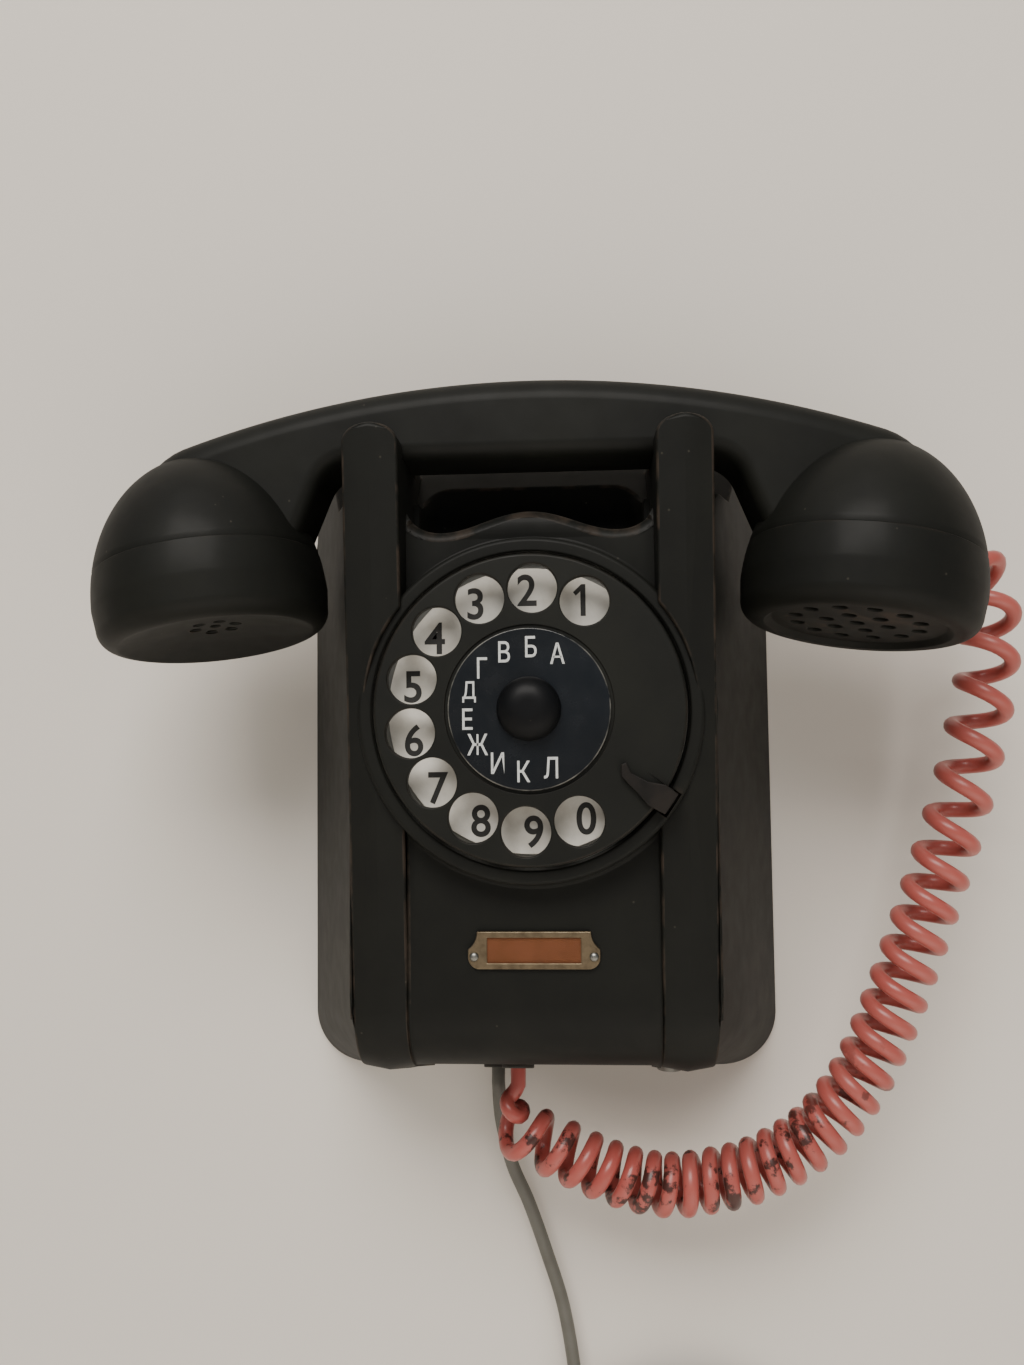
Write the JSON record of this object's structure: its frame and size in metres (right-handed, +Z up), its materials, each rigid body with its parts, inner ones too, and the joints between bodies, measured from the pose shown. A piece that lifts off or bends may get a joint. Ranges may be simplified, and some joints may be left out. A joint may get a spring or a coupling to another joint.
{
  "type": "corded telephone",
  "caption": "Black wall telephone with a rotary finger wheel, a handset across two cradle horns, a curly handset cord and a line cord with a plug.",
  "frame": {"origin": "on the wall plane, at the centre of the four wall screws and of the rear rim", "axes": "+Z up, +X to the right seen from the front, +Y into the wall; the front looks along -Y"},
  "size_m": [0.2549, 0.0889, 0.4054],
  "materials": {
    "bakelite": "worn, half gloss",
    "dial_black": "worn, half gloss",
    "white_enamel": "satin",
    "steel": "plated",
    "black_steel": "worn black",
    "tarnished_nickel": "tarnished",
    "card": "aged card",
    "celluloid": "clear",
    "brass": "bright",
    "winding": "varnished wire",
    "can": "painted",
    "aluminium_can": "satin",
    "brown_moulding": "half gloss",
    "black_rubber": "matte",
    "red_cord": "satin sheath",
    "grey_cord": "satin sheath"
  },
  "bodies": {
    "phone": {"back_plate": "steel", "housing": "bakelite", "housing_screw": "steel", "label_frame": "tarnished_nickel", "label_card": "card", "label_window": "celluloid", "label_rivets": "steel", "dial_base": "steel", "dial_screws": "steel", "number_plate": "white_enamel", "finger_stop": "black_steel", "dial_spring": "steel", "pulse_contacts": "brass", "hook_bracket": "steel", "hook_springs": "steel", "hook_contacts": "brass", "ringer_frame": "steel", "ringer_coils": "winding", "ringer_magnet": "steel", "gong_left": "steel", "gong_right": "steel", "gong_posts": "steel", "clapper_pin": "steel", "capacitor": "can", "induction_coil": "winding", "terminal_block": "brown_moulding", "terminal_screws": "brass", "cord_grommet": "black_rubber", "line_grommet": "black_rubber", "handset_cord": "red_cord", "line_cord": "grey_cord", "line_coil": "grey_cord", "coil_tie": "black_rubber", "line_plug": "brown_moulding", "plug_pins": "brass"},
    "handset": {"handset_handle": "bakelite", "ear_cap": "bakelite", "mouth_cap": "bakelite", "receiver_capsule": "aluminium_can", "transmitter_capsule": "aluminium_can", "handset_gland": "black_rubber"},
    "hook": {"hook_yoke": "steel", "plunger_left": "bakelite", "plunger_right": "bakelite"},
    "dial": {"finger_wheel": "dial_black", "letter_disc": "dial_black", "centre_cap": "dial_black", "dial_shaft": "steel", "main_gear": "brass"},
    "pulse": {"pulse_gear": "brass"},
    "governor": {"governor": "steel"},
    "clapper": {"clapper": "steel"}
  },
  "joints": [
    {"name": "handset_lift", "type": "slide", "parent": "phone", "child": "handset", "axis": [0, 0, 1], "range_m": [0, 0.08]},
    {"name": "hook_slide", "type": "slide", "parent": "phone", "child": "hook", "axis": [0, 0, 1], "range_m": [0, 0.005], "deforming": ["hook_springs"]},
    {"name": "dial_spin", "type": "hinge", "parent": "phone", "child": "dial", "pos_m": [0, -0.0745, 0.01], "axis": [0, 1, 0], "range_deg": [0, 315], "stiffness_Nm_per_rad": 0.01, "springref_deg": -57.3},
    {"name": "pulse_spin", "type": "hinge", "parent": "phone", "child": "pulse", "pos_m": [-0.0256, -0.0525, 0.01], "axis": [0, 1, 0], "range_deg": [-945, 0]},
    {"name": "governor_spin", "type": "hinge", "parent": "phone", "child": "governor", "pos_m": [-0.0138, -0.0525, 0.01], "axis": [0, 0, 1], "range_deg": [0, 7560]},
    {"name": "clapper_swing", "type": "hinge", "parent": "phone", "child": "clapper", "pos_m": [0, -0.014, -0.03925], "axis": [0, 1, 0], "range_deg": [-3, 3]}
  ],
  "couplings": [
    {"joint": "hook_slide", "follows": "handset_lift", "ratio": 0.0625},
    {"joint": "pulse_spin", "follows": "dial_spin", "ratio": -3},
    {"joint": "governor_spin", "follows": "dial_spin", "ratio": 24}
  ]
}
